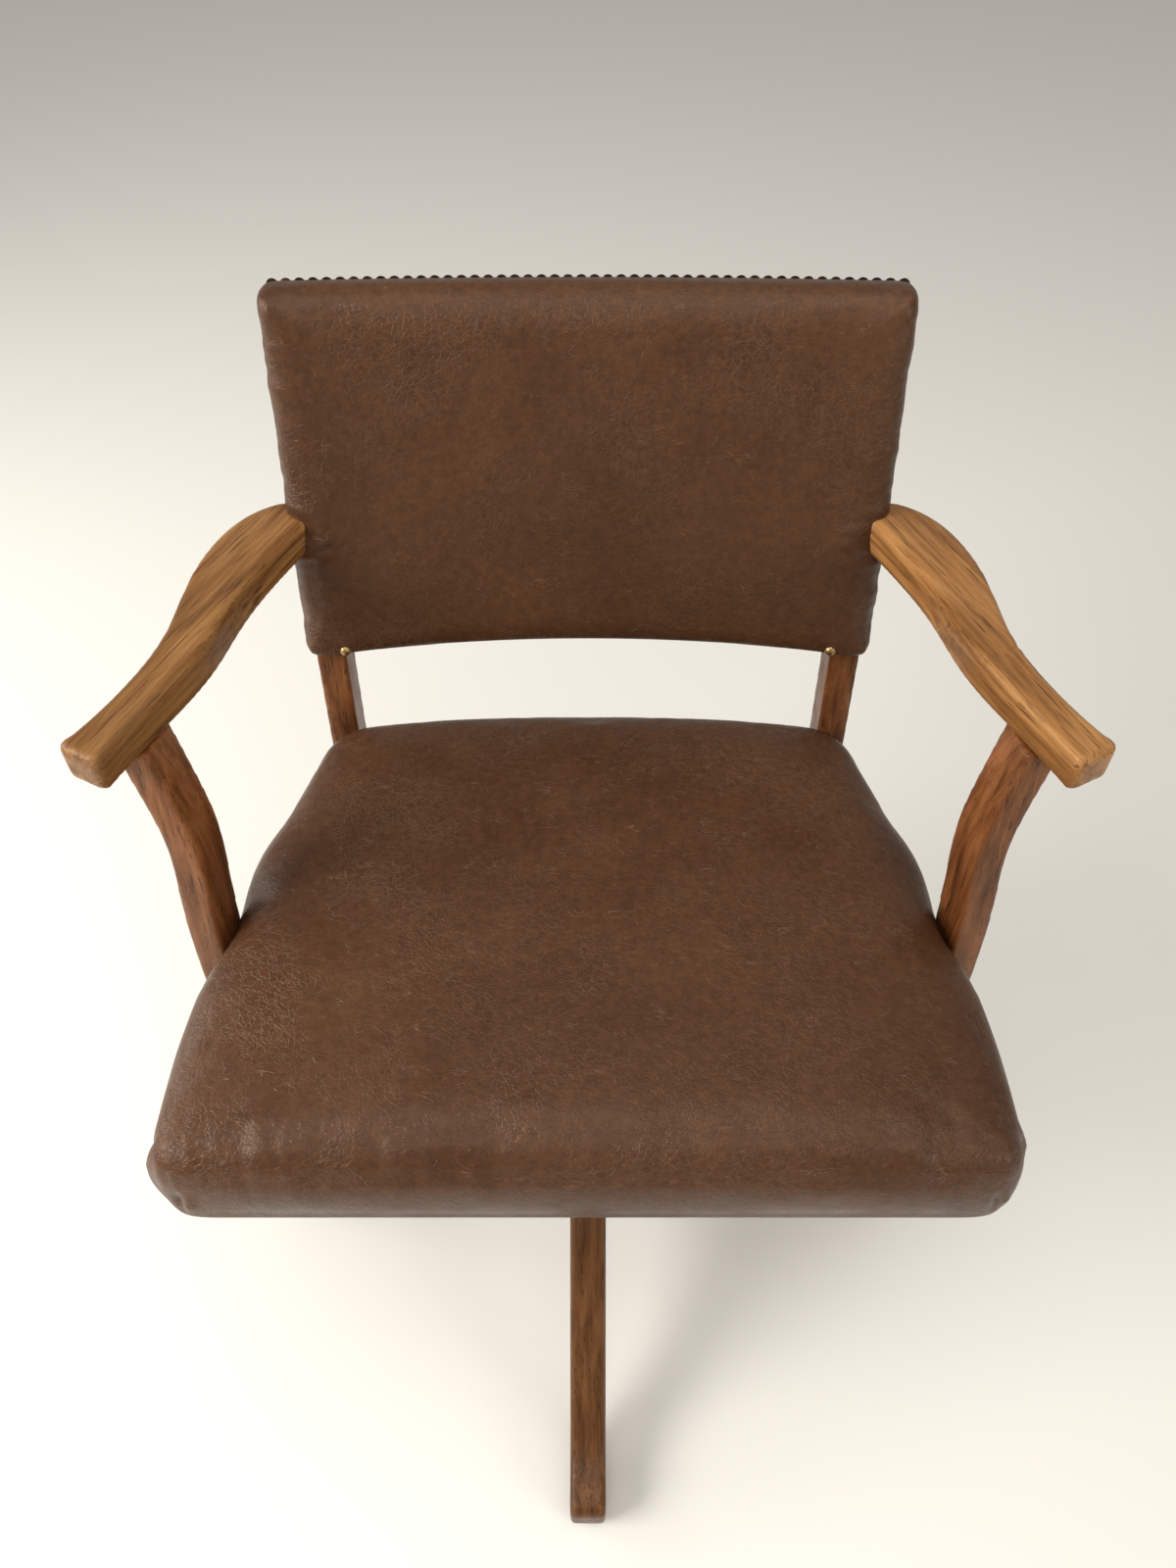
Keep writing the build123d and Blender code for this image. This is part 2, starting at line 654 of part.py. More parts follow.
def build_parts():
    """Every separate piece of the chair by name."""
    low_plate, high_plate = HUB_LOW - PLATE_T, HUB_HIGH + PLATE_T
    parts = {
        "hub": hub(),
        "leg_right": leg(0),
        "leg_rear": leg(90),
        "leg_left": leg(180),
        "leg_front": leg(270),
        "leg_dowels": group(leg_dowels()),
        "glides": group(glides()),
        "top_plate": round_plate(40, HUB_HIGH, high_plate, SLEEVE_R),
        "bottom_plate": round_plate(38, low_plate, HUB_LOW, SLEEVE_R),
        "plate_screws": group(plate_screws()),
        "guide_sleeve": guide_sleeve(),
        "spindle_key": key_slot(),
        "base_washer": washer(SCREW_R + 1, 24, high_plate, high_plate + 3),
        "handwheel": handwheel(),
        "spindle": spindle(),
        "collar_washer": washer(JOURNAL_R, 20, COLLAR_HIGH, COLLAR_HIGH + 3),
        "top_washer": washer(STUD_R, 19, JOURNAL_TOP, JOURNAL_TOP + 3),
        "castle_nut": castle_nut(),
        "swivel_iron": swivel_iron(),
        "swivel_bush": washer(JOURNAL_R + RUN, 14, COLLAR_HIGH + 3.3, 340),
        "tilt_axle": tilt_axle(),
        "axle_washers": group(axle_washers()),
        "axle_pins": group(axle_pins()),
        "stop_buffer": stop_buffer(),
        "tension_screw": tension_screw(),
        "tension_knob": tension_knob(),
        "spring_bridge": spring_bridge(),
        "tilt_spring_left": tilt_spring(-1),
        "tilt_spring_right": tilt_spring(1),
        "tilt_cradle": tilt_cradle(),
        "cradle_screws": group(cradle_screws()),
        "seat_rail_front": seat_rail("front"),
        "seat_rail_rear": seat_rail("rear"),
        "seat_rail_left": seat_rail("left"),
        "seat_rail_right": seat_rail("right"),
        "seat_bearers": group(seat_bearers()),
        "corner_blocks": group(corner_blocks()),
        "seat_webbing": group(seat_webbing()),
        "seat_padding": seat_padding(),
        "seat_cover": seat_cover(),
        "dust_cover": dust_cover(),
        "post_right": post(),
        "post_left": other_side(post()),
        "arm_right": arm(),
        "arm_left": other_side(arm()),
        "support_right": support(),
        "support_left": other_side(support()),
        "support_bolts": group(support_bolts()),
        "post_bolts": group(post_bolts()),
        "arm_screws": group(arm_screws()),
        "arm_dowels": group(arm_dowels()),
        "back_rail_top": back_rail(BACK_HIGH - 48, BACK_HIGH - SKIN),
        "back_rail_bottom": back_rail(BACK_LOW + SKIN, BACK_LOW + 46),
        "back_hessian": back_hessian(),
        "back_padding": back_padding(),
        "back_cover": back_cover(),
        "outer_back": outer_back(),
        "rear_studs": group(rear_studs()),
        "corner_studs": group(corner_studs()),
    }
    return parts


os.makedirs("parts", exist_ok=True)
for name, shape in build_parts().items():
    export_step(shape, f"parts/{name}.step")
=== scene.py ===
"""Swivel office chair: leather seat and back, oak arms and sabre legs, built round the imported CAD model."""

from math import cos, pi, radians, sin

import bmesh
import bpy
import numpy as np
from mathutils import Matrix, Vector, noise


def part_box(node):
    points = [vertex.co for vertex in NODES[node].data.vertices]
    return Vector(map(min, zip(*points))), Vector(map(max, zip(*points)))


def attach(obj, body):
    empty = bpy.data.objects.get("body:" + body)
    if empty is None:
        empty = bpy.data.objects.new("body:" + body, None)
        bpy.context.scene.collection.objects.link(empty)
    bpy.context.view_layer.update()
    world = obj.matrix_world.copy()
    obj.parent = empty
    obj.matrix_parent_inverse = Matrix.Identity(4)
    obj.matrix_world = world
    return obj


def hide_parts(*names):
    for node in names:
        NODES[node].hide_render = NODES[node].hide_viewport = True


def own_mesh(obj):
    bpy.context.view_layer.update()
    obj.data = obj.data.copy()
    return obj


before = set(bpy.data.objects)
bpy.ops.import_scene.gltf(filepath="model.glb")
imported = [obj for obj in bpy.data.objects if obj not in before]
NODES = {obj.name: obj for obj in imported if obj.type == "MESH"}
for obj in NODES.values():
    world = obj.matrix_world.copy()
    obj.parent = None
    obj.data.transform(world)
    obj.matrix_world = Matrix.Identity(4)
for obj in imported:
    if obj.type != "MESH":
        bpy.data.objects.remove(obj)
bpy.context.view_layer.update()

# Places read from the CAD model, metres
SEAT_LO, SEAT_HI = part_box("seat_cover")
BACK_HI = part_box("back_cover")[1]
SUPPORT_LO, SUPPORT_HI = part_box("support_right")
SPRING_LO, SPRING_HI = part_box("tilt_spring_right")

# The back's own frame, as in the CAD model
BACK_LEAN = radians(13.0)
BACK_ORIGIN = Vector((0.0, 0.190, 0.545))
BACK_HALF = BACK_HI.x
BACK_LOW, BACK_HIGH = 0.005, 0.272
BACK_FRONT, BACK_REAR = 0.007, 0.042
BOW_R = 1.817
ARCH = 0.008
POST_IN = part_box("post_right")[0].x

# Where the arms enter the back, seen from the front in the back's frame
ARM_ENTRY_X, ARM_ENTRY_Z = 0.217, 0.104


# ------------------------------------------------------------ meshes


def link(mesh, name):
    """New object for a mesh, in the scene."""
    obj = bpy.data.objects.new(name, mesh)
    bpy.context.scene.collection.objects.link(obj)
    return obj


def shade_smooth(mesh):
    """Smooth shading on every face."""
    mesh.polygons.foreach_set("use_smooth", [True] * len(mesh.polygons))


def baked(obj):
    """Replaces an object's mesh with what its modifiers make of it."""
    bpy.context.view_layer.update()
    graph = bpy.context.evaluated_depsgraph_get()
    mesh = bpy.data.meshes.new_from_object(obj.evaluated_get(graph))
    obj.modifiers.clear()
    obj.data = mesh
    return obj


def coordinates(obj):
    """Vertex places as an array."""
    flat = np.zeros(len(obj.data.vertices) * 3)
    obj.data.vertices.foreach_get("co", flat)
    return flat.reshape(-1, 3)


def put_coordinates(obj, places):
    """Writes vertex places back."""
    obj.data.vertices.foreach_set("co", np.asarray(places, float).ravel())
    obj.data.update()


def lofted(name, rings):
    """Closed mesh through rings of equal length, with a fan at each end."""
    count = len(rings[0])
    points = [tuple(p) for ring in rings for p in ring]
    points += [tuple(np.mean(rings[0], axis=0)), tuple(np.mean(rings[-1], axis=0))]
    first, last = len(points) - 2, len(points) - 1
    faces = []
    for level in range(len(rings) - 1):
        for i in range(count):
            j = (i + 1) % count
            a, b = level * count, (level + 1) * count
            faces.append((a + i, a + j, b + j, b + i))
    top = (len(rings) - 1) * count
    for i in range(count):
        j = (i + 1) % count
        faces.append((first, j, i))
        faces.append((last, top + i, top + j))
    mesh = bpy.data.meshes.new(name)
    mesh.from_pydata(points, [], faces)
    mesh.update()
    return link(mesh, name)


def remeshed(obj, voxel):
    """Even quads of the given size."""
    mod = obj.modifiers.new("remesh", "REMESH")
    mod.mode = "VOXEL"
    mod.voxel_size = voxel
    return baked(obj)


def smoothed(obj, passes, factor=0.5):
    """Relaxes the surface."""
    mod = obj.modifiers.new("smooth", "SMOOTH")
    mod.iterations = passes
    mod.factor = factor
    return baked(obj)


def subdivided(obj, levels=1):
    """Catmull-Clark subdivision."""
    mod = obj.modifiers.new("subdivide", "SUBSURF")
    mod.levels = levels
    mod.render_levels = levels
    return baked(obj)


def softened(node, name, body, voxel, passes):
    """Copy of a CAD piece with its arrises worn round; stands for that piece."""
    obj = link(NODES[node].data.copy(), name)
    obj.data.materials.clear()
    remeshed(obj, voxel)
    smoothed(obj, passes)
    shade_smooth(obj.data)
    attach(obj, body)
    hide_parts(node)
    return obj


def inflated(obj, held, cap, pressure, frames=20):
    """Puffs a closed mesh up with a cloth simulation; held points stay, others move at most cap."""
    rest = coordinates(obj)
    pins = obj.vertex_groups.new(name="pins")
    pins.add([int(i) for i in np.nonzero(held(rest))[0]], 1.0, "REPLACE")
    mod = obj.modifiers.new("cloth", "CLOTH")
    mod.settings.quality = 6
    mod.settings.mass = 0.4
    mod.settings.tension_stiffness = 25
    mod.settings.compression_stiffness = 25
    mod.settings.shear_stiffness = 12
    mod.settings.bending_stiffness = 2.0
    mod.settings.use_pressure = True
    mod.settings.uniform_pressure_force = pressure
    mod.settings.effector_weights.gravity = 0
    mod.settings.vertex_group_mass = "pins"
    mod.point_cache.frame_start = 1
    mod.point_cache.frame_end = frames
    scene = bpy.context.scene
    for step in range(1, frames + 1):
        scene.frame_set(step)
    baked(obj)
    scene.frame_set(1)
    obj.vertex_groups.clear()
    move = coordinates(obj) - rest
    length = np.linalg.norm(move, axis=1, keepdims=True)
    scale = cap * np.tanh(length / cap) / np.maximum(length, 1e-9)
    put_coordinates(obj, rest + move * scale)
    return obj


# ------------------------------------------------------------ outlines


def spline(points, steps=24):
    """Dense Catmull-Rom line through the points."""
    pts = [np.array(p, float) for p in points]
    pts = [2 * pts[0] - pts[1]] + pts + [2 * pts[-1] - pts[-2]]
    dense = []
    for k in range(1, len(pts) - 2):
        a, b, c, d = pts[k - 1:k + 3]
        for s in range(steps):
            t = s / steps
            dense.append(0.5 * (2 * b + (c - a) * t + (2 * a - 5 * b + 4 * c - d) * t ** 2
                                + (3 * b - a - 3 * c + d) * t ** 3))
    dense.append(pts[-2])
    return np.array(dense)


def trimmed(line, length):
    """The line with that length taken off both ends."""
    gaps = np.linalg.norm(np.diff(line, axis=0), axis=1)
    along = np.concatenate([[0], np.cumsum(gaps)])
    wanted = np.linspace(length, along[-1] - length, 160)
    return np.stack([np.interp(wanted, along, line[:, k]) for k in range(2)], axis=1)


def joined(lines, corner, count):
    """Closed outline of lines that meet at corners, each corner rounded, evenly resampled."""
    cuts = [trimmed(line, corner) for line in lines]
    outline = []
    for k, line in enumerate(lines):
        after = cuts[(k + 1) % len(cuts)]
        outline.extend(cuts[k])
        start, knee, end = cuts[k][-1], line[-1], after[0]
        for t in np.linspace(0, 1, 26)[1:-1]:
            outline.append((1 - t) ** 2 * start + 2 * t * (1 - t) * knee + t ** 2 * end)
    loop = np.array(outline + [outline[0]])
    gaps = np.linalg.norm(np.diff(loop, axis=0), axis=1)
    along = np.concatenate([[0], np.cumsum(gaps)])
    wanted = np.linspace(0, along[-1], count, endpoint=False)
    return np.stack([np.interp(wanted, along, loop[:, k]) for k in range(2)], axis=1)


def drawn_in(outline, inset):
    """Outline moved inwards by a distance."""
    tangent = np.roll(outline, -1, axis=0) - np.roll(outline, 1, axis=0)
    tangent /= np.linalg.norm(tangent, axis=1, keepdims=True)
    inward = np.stack([-tangent[:, 1], tangent[:, 0]], axis=1)
    return outline + inward * np.reshape(inset, (-1, 1))


def loaf_rings(outline, height, low, edge, roll, depth, bulge, under, lip=0.0):
    """Rings of a stuffed form: bottom, bulging side, rolled edge, crown.

    height(x, y) is the crown; edge is how far the rim lies under it; depth is how far in the roll
    reaches. Both can differ from point to point of the outline.
    """
    rings = []
    rings.append(with_height(drawn_in(outline, under), low))
    rings.append(with_height(drawn_in(outline, 0.001), low - lip))
    rim = height(outline[:, 0], outline[:, 1]) - edge
    for s in np.linspace(0.05, 1, 9):
        swell = bulge * sin(pi * s * 0.9)
        z = low + (rim - low) * s
        rings.append(with_height(drawn_in(outline, -swell), z))
    for t in np.linspace(0, 1, 13)[1:]:
        inset = depth * t
        ring = drawn_in(outline, inset)
        drop = edge * (1 - (1 - (1 - t) ** roll) ** (1 / roll))
        rings.append(with_height(ring, height(ring[:, 0], ring[:, 1]) - drop))
    inner = drawn_in(outline, depth)
    middle = inner.mean(axis=0)
    for s in np.linspace(1, 0.04, 26)[1:]:
        ring = middle + (inner - middle) * s
        rings.append(with_height(ring, height(ring[:, 0], ring[:, 1])))
    return rings


def with_height(ring, height):
    """Plan ring with a height added."""
    tall = np.broadcast_to(height, len(ring))
    return np.column_stack([ring, tall])


def hump(distance, width):
    """Bell curve."""
    return np.exp(-(distance / width) ** 2)


# ----------------------------------------------------------- materials


class Paint:
    """One node material with a principled shader and short ways to add nodes."""

    def __init__(self, name):
        self.material = bpy.data.materials.new(name)
        self.material.use_nodes = True
        self.tree = self.material.node_tree
        self.tree.nodes.clear()
        self.shader = self.tree.nodes.new("ShaderNodeBsdfPrincipled")
        out = self.tree.nodes.new("ShaderNodeOutputMaterial")
        self.tree.links.new(self.shader.outputs["BSDF"], out.inputs["Surface"])
        self.place = self.tree.nodes.new("ShaderNodeTexCoord").outputs["Object"]

    def node(self, kind, links=(), **settings):
        """New node; links are (input name or index, output or value)."""
        made = self.tree.nodes.new(kind)
        for key, value in settings.items():
            setattr(made, key, value)
        for socket, source in links:
            if isinstance(source, bpy.types.NodeSocket):
                self.tree.links.new(source, made.inputs[socket])
            else:
                made.inputs[socket].default_value = source
        return made

    def scaled(self, vector, scale):
        """Vector stretched along each axis."""
        return self.node("ShaderNodeVectorMath", [(0, vector), (1, scale)], operation="MULTIPLY").outputs[0]

    def turned(self, vector, axis, angle):
        """Vector turned about X, Y or Z."""
        made = self.node("ShaderNodeVectorRotate", [("Vector", vector), ("Angle", angle)],
                         rotation_type=axis + "_AXIS")
        return made.outputs[0]

    def noise(self, vector, scale, detail=4.0, rough=0.55, twist=0.0):
        """Noise value."""
        made = self.node("ShaderNodeTexNoise", [("Vector", vector), ("Scale", scale), ("Detail", detail),
                                                ("Roughness", rough), ("Distortion", twist)])
        return made.outputs["Fac"]

    def warped(self, vector, scale, amount):
        """Vector shifted a little by noise."""
        made = self.node("ShaderNodeTexNoise", [("Vector", vector), ("Scale", scale), ("Detail", 3.0)])
        centred = self.node("ShaderNodeVectorMath", [(0, made.outputs["Color"]), (1, (0.5, 0.5, 0.5))],
                            operation="SUBTRACT").outputs[0]
        shift = self.scaled(centred, (amount, amount, amount))
        return self.node("ShaderNodeVectorMath", [(0, vector), (1, shift)], operation="ADD").outputs[0]

    def cells(self, vector, scale, feature="DISTANCE_TO_EDGE"):
        """Voronoi distance."""
        made = self.node("ShaderNodeTexVoronoi", [("Vector", vector), ("Scale", scale)], feature=feature)
        return made.outputs["Distance"]

    def ramp(self, value, stops):
        """Colour ramp; stops are (position, colour or grey)."""
        made = self.node("ShaderNodeValToRGB", [("Fac", value)])
        band = made.color_ramp
        while len(band.elements) < len(stops):
            band.elements.new(0.5)
        for element, (position, colour) in zip(band.elements, stops):
            element.position = position
            grey = isinstance(colour, (int, float))
            element.color = (colour, colour, colour, 1) if grey else (*colour, 1)
        return made.outputs["Color"]

    def math(self, operation, a, b=0.0):
        """Arithmetic."""
        return self.node("ShaderNodeMath", [(0, a), (1, b)], operation=operation).outputs[0]

    def mix(self, factor, a, b, mode="MIX"):
        """Colour mix."""
        made = self.node("ShaderNodeMix", data_type="RGBA", blend_type=mode)
        for socket, source in ((0, factor), (6, a), (7, b)):
            if isinstance(source, bpy.types.NodeSocket):
                self.tree.links.new(source, made.inputs[socket])
            elif socket == 0:
                made.inputs[0].default_value = source
            else:
                made.inputs[socket].default_value = (*source, 1)
        return made.outputs[2]

    def bump(self, height, strength, distance, normal=None):
        """Bump normal."""
        links = [("Height", height), ("Strength", strength), ("Distance", distance)]
        if normal is not None:
            links.append(("Normal", normal))
        return self.node("ShaderNodeBump", links).outputs[0]

    def finish(self, colour, roughness, normal=None, **constants):
        """Connects the shader."""
        for socket, source in (("Base Color", colour), ("Roughness", roughness)):
            if isinstance(source, bpy.types.NodeSocket):
                self.tree.links.new(source, self.shader.inputs[socket])
            elif socket == "Base Color":
                self.shader.inputs[socket].default_value = (*source, 1)
            else:
                self.shader.inputs[socket].default_value = source
        if normal is not None:
            self.tree.links.new(normal, self.shader.inputs["Normal"])
        for key, value in constants.items():
            self.shader.inputs[key.replace("_", " ")].default_value = value
        return self.material


def leather(name, shade=1.0, creased=1.0):
    """Brown hide: mottled dye, tan crease lines in patches, fine pebble grain, satin wax."""
    paint = Paint(name)
    dark = tuple(c * shade for c in (0.058, 0.0225, 0.0095))
    middle = tuple(c * shade for c in (0.070, 0.0285, 0.0122))
    warm = tuple(c * shade for c in (0.088, 0.0365, 0.0148))
    tan = tuple(c * shade for c in (0.21, 0.115, 0.060))
    place = paint.warped(paint.place, 16.0, 0.02)
    cloud = paint.noise(place, 6.0, 8.0, 0.62)
    colour = paint.ramp(cloud, [(0.34, dark), (0.50, middle), (0.70, warm)])
    speck = paint.ramp(paint.noise(paint.place, 160.0, 4.0, 0.7), [(0.35, 0.80), (0.65, 1.16)])
    colour = paint.mix(1.0, colour, speck, "MULTIPLY")
    streaks = paint.noise(paint.warped(paint.scaled(paint.place, (0.4, 1.0, 1.0)), 40.0, 0.02), 85.0, 2.0)
    offset = paint.math("ABSOLUTE", paint.math("SUBTRACT", streaks, 0.5))
    drawn = paint.ramp(offset, [(0.0, 1.0), (0.012, 0.0)])
    broken = paint.ramp(paint.noise(paint.place, 70.0, 2.0), [(0.48, 0.0), (0.60, 1.0)])
    lines = paint.math("MULTIPLY", drawn, broken)
    creases = paint.cells(paint.warped(paint.place, 90.0, 0.016), 190.0)
    patch = paint.ramp(paint.noise(paint.place, 13.0, 3.0), [(0.42, 0.15), (0.62, 1.0)])
    hairs = paint.math("MULTIPLY", paint.ramp(creases, [(0.0, 1.0), (0.10, 0.0)]), patch)
    worn = paint.math("MAXIMUM", paint.math("MULTIPLY", lines, 0.8), paint.math("MULTIPLY", hairs, 0.30))
    colour = paint.mix(paint.math("MULTIPLY", worn, 0.42 * creased), colour, tan)
    folds = paint.math("MAXIMUM", lines, hairs)
    gloss = paint.ramp(paint.noise(paint.place, 24.0, 5.0), [(0.3, 0.30), (0.7, 0.46)])
    pebble = paint.cells(paint.warped(paint.place, 200.0, 0.004), 420.0, "F1")
    grain = paint.bump(pebble, 0.22, 0.0006)
    relief = paint.bump(paint.math("SUBTRACT", 1.0, folds), 0.5 * creased, 0.0007, grain)
    swells = paint.bump(paint.noise(paint.place, 34.0, 4.0, 0.6), 0.35, 0.0030, relief)
    return paint.finish(colour, gloss, swells, Specular_IOR_Level=0.30,
                        Specular_Tint=(1.0, 0.86, 0.72, 1.0))


def oak(name, turns, tone=1.0, red=1.0, seed=0.0):
    """Varnished oak; turns bring the grain on to X."""
    paint = Paint(name)
    place = paint.place
    for axis, angle in turns:
        place = paint.turned(place, axis, angle)
    place = paint.node("ShaderNodeVectorMath", [(0, place), (1, (seed, seed * 0.7, seed * 0.3))],
                       operation="ADD").outputs[0]
    place = paint.warped(place, 7.0, 0.006)
    light = (0.36 * tone, 0.172 * tone / red, 0.056 * tone / red)
    middle = (0.245 * tone, 0.105 * tone / red, 0.030 * tone / red)
    deep = (0.120 * tone, 0.046 * tone / red, 0.012 * tone / red)
    black = (0.030 * tone, 0.012 * tone, 0.005 * tone)
    bands = paint.noise(paint.scaled(place, (0.06, 1.0, 1.0)), 150.0, 4.0, 0.6, 0.3)
    colour = paint.ramp(bands, [(0.30, deep), (0.48, middle), (0.66, light)])
    broad = paint.noise(paint.scaled(place, (0.3, 1.0, 1.0)), 14.0, 3.0)
    wide = paint.ramp(broad, [(0.35, 0.78), (0.65, 1.18)])
    colour = paint.mix(1.0, colour, wide, "MULTIPLY")
    pores = paint.noise(paint.scaled(place, (0.040, 1.0, 1.0)), 640.0, 2.0, 0.6)
    clusters = paint.noise(paint.scaled(place, (0.06, 1.0, 1.0)), 60.0, 3.0)
    groups = paint.ramp(clusters, [(0.40, 1.0), (0.62, 0.3)])
    dashes = paint.math("MULTIPLY", paint.ramp(pores, [(0.57, 0.0), (0.66, 1.0)]), groups)
    colour = paint.mix(paint.math("MULTIPLY", dashes, 0.78), colour, black)
    gloss = paint.ramp(paint.noise(place, 40.0, 4.0), [(0.3, 0.30), (0.7, 0.46)])
    relief = paint.bump(paint.math("SUBTRACT", 1.0, dashes), 0.5, 0.0004)
    return paint.finish(colour, gloss, relief, Specular_IOR_Level=0.32,
                        Specular_Tint=(1.0, 0.84, 0.66, 1.0))


def plain_wood(name):
    """Unfinished beech of the hidden frame."""
    paint = Paint(name)
    grain = paint.noise(paint.scaled(paint.place, (0.3, 1.0, 1.0)), 90.0, 4.0)
    colour = paint.ramp(grain, [(0.35, (0.42, 0.27, 0.14)), (0.65, (0.60, 0.43, 0.26))])
    return paint.finish(colour, 0.6, paint.bump(grain, 0.2, 0.0005))


def metal(name, colour, rough, wear=None, metallic=1.0, mottle=0.35):
    """Metal or enamelled iron with cloudy tarnish and tiny dents."""
    paint = Paint(name)
    cloud = paint.noise(paint.place, 55.0, 5.0, 0.6)
    low = tuple(c * (1 - mottle) for c in colour)
    high = wear or tuple(min(1.0, c * (1 + mottle)) for c in colour)
    tone = paint.ramp(cloud, [(0.38, low), (0.58, colour), (0.78, high)])
    haze = paint.noise(paint.place, 130.0, 4.0)
    finish = paint.ramp(haze, [(0.3, rough * 0.8), (0.7, min(1.0, rough * 1.3))])
    relief = paint.bump(paint.noise(paint.place, 420.0, 3.0), 0.18, 0.0003)
    return paint.finish(tone, finish, relief, Metallic=metallic)


def woven(name, colour, thread):
    """Plain weave cloth with threads of the given width."""
    paint = Paint(name)
    count = 2 * pi / thread
    parts = paint.node("ShaderNodeSeparateXYZ", [(0, paint.place)])
    over = paint.math("SINE", paint.math("MULTIPLY", parts.outputs[0], count))
    across = paint.math("SINE", paint.math("MULTIPLY", parts.outputs[1], count))
    weave = paint.math("MULTIPLY", over, across)
    low = tuple(c * 0.6 for c in colour)
    shade = paint.math("ADD", paint.math("MULTIPLY", weave, 0.4), 0.5)
    tone = paint.ramp(shade, [(0.1, low), (0.9, colour)])
    return paint.finish(tone, 0.85, paint.bump(weave, 0.5, 0.0006))


def rubber(name):
    """Black rubber with a dusty bloom."""
    paint = Paint(name)
    dust = paint.noise(paint.place, 90.0, 4.0)
    tone = paint.ramp(dust, [(0.4, (0.012, 0.012, 0.012)), (0.7, (0.035, 0.034, 0.032))])
    return paint.finish(tone, 0.75, paint.bump(dust, 0.2, 0.0004))


def paint_nodes(material, *names):
    """Gives CAD nodes a material."""
    for name in names:
        slots = NODES[name].data.materials
        slots.clear()
        slots.append(material)


# ---------------------------------------------------------------- seat


def seat_outline(count):
    """Plan of the seat inside the CAD seat's box."""
    wide, front, rear = SEAT_HI.x, SEAT_LO.y, SEAT_HI.y
    right = spline([(wide, front), (wide - 0.005, -0.080), (wide - 0.024, 0.040), (wide - 0.044, 0.104),
                    (wide - 0.072, rear - 0.013)])
    back = spline([right[-1], (0.12, rear - 0.003), (0.0, rear), (-0.12, rear - 0.003), right[-1] * (-1, 1)])
    left = right[::-1] * (-1, 1)
    edge = spline([(-wide, front), (wide, front)])
    return joined([edge, right, back, left], 0.034, count)


def seat_crown(x, y):
    """Height of the stuffed top before its edges roll down."""
    top = SEAT_HI.z
    return top - 0.010 * (x / 0.28) ** 2 - 0.007 * ((y - 0.06) / 0.25) ** 2


def pleat(places, outward, start, run, width, depth, reach):
    """Folds a lip of hide along a line on the border: a groove with a raised flap beside it."""
    offset = places - start
    along = offset @ run
    side = np.cross(outward, run)
    across = offset @ side
    off_plane = np.abs(offset @ outward)
    begins = np.clip((along + 0.004) / 0.02, 0, 1)
    ends = np.clip((reach - along) / 0.02, 0, 1)
    fade = hump(off_plane, 0.030) * begins * ends
    groove = -depth * hump(across, width)
    lip = 0.6 * depth * hump(across - 2.1 * width, 1.3 * width)
    return places + np.outer((groove + lip) * fade, outward)


def crinkled(places):
    """Fine wrinkles across the rolled front edge, fanning out at the two front corners."""
    depth = places[:, 1] - SEAT_LO.y
    rolled = hump(depth - 0.012, 0.026) * np.clip((places[:, 2] - SEAT_LO.z - 0.02) / 0.03, 0, 1)
    corner = hump(np.abs(places[:, 0]) - SEAT_HI.x + 0.02, 0.07)
    for k, p in enumerate(places):
        if rolled[k] > 0.02:
            wave = noise.noise(Vector((p.item(0) * 62, p.item(1) * 9, 5.0)))
            fan = noise.noise(Vector((p.item(0) * 120, p.item(2) * 22, 9.0)))
            places[k, 2] += rolled[k] * (0.0011 * wave + 0.0013 * corner[k] * fan)
            places[k, 1] -= rolled[k] * (0.0009 * wave + 0.0010 * corner[k] * fan)
    return places


def make_seat():
    """Stuffed leather seat: crowned, rolled, pressed in by the supports, pleated at the front corners."""
    outline = seat_outline(300)
    outline = drawn_in(outline, 0.003)
    low = SEAT_LO.z
    forward = np.clip((SEAT_HI.y - outline[:, 1]) / 0.10, 0, 1)
    rings = loaf_rings(outline, seat_crown, low, 0.015 + 0.010 * forward, 2.2, 0.018 + 0.012 * forward,
                       0.002, 0.030, 0.005)
    seat = remeshed(lofted("seat_leather", rings), 0.0045)
    inflated(seat, lambda p: p[:, 2] < low + 0.012, 0.0030, 1.2)
    smoothed(seat, 2)
    subdivided(seat)
    places = crinkled(coordinates(seat))
    middle_y = (SUPPORT_LO.y + SUPPORT_HI.y) / 2 - 0.012
    for side in (-1, 1):
        near = hump(places[:, 0] - side * 0.262, 0.034) * hump(places[:, 1] - middle_y, 0.036)
        places[:, 2] -= 0.011 * near * np.clip((places[:, 2] - 0.43) / 0.03, 0, 1)
        places[:, 0] -= side * 0.004 * near
    for side, depth in ((-1, 0.0042), (1, 0.0036)):
        front = np.array((side * 0.258, SEAT_LO.y, low + 0.040))
        places = pleat(places, np.array((0.0, -1.0, 0.0)), front, np.array((0.18 * side, 0.0, -1.0)),
                       0.0026 * 1.2, depth, 0.034)
        flank = np.array((side * SEAT_HI.x, SEAT_LO.y + 0.030, low + 0.062))
        places = pleat(places, np.array((side * 1.0, 0.0, 0.0)), flank, np.array((0.0, -0.25, -1.0)),
                       0.0036, depth * 1.5, 0.052)
    put_coordinates(seat, places)
    shade_smooth(seat.data)
    seat.data.materials.append(leather("seat_hide"))
    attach(seat, "seat")
    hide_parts("seat_cover", "seat_padding")


# ---------------------------------------------------------------- back


def to_back(places):
    """Points (x, height, outward) of the upright back frame carried to the leaning back."""
    x, z = places[:, 0], places[:, 1]
    y = -places[:, 2]
    bent = y - (BOW_R - np.sqrt(BOW_R ** 2 - x ** 2))
    lean_y = BACK_ORIGIN.y + z * sin(BACK_LEAN) + bent * cos(BACK_LEAN)
    lean_z = BACK_ORIGIN.z + z * cos(BACK_LEAN) - bent * sin(BACK_LEAN)
    return np.column_stack([x, lean_y, lean_z])


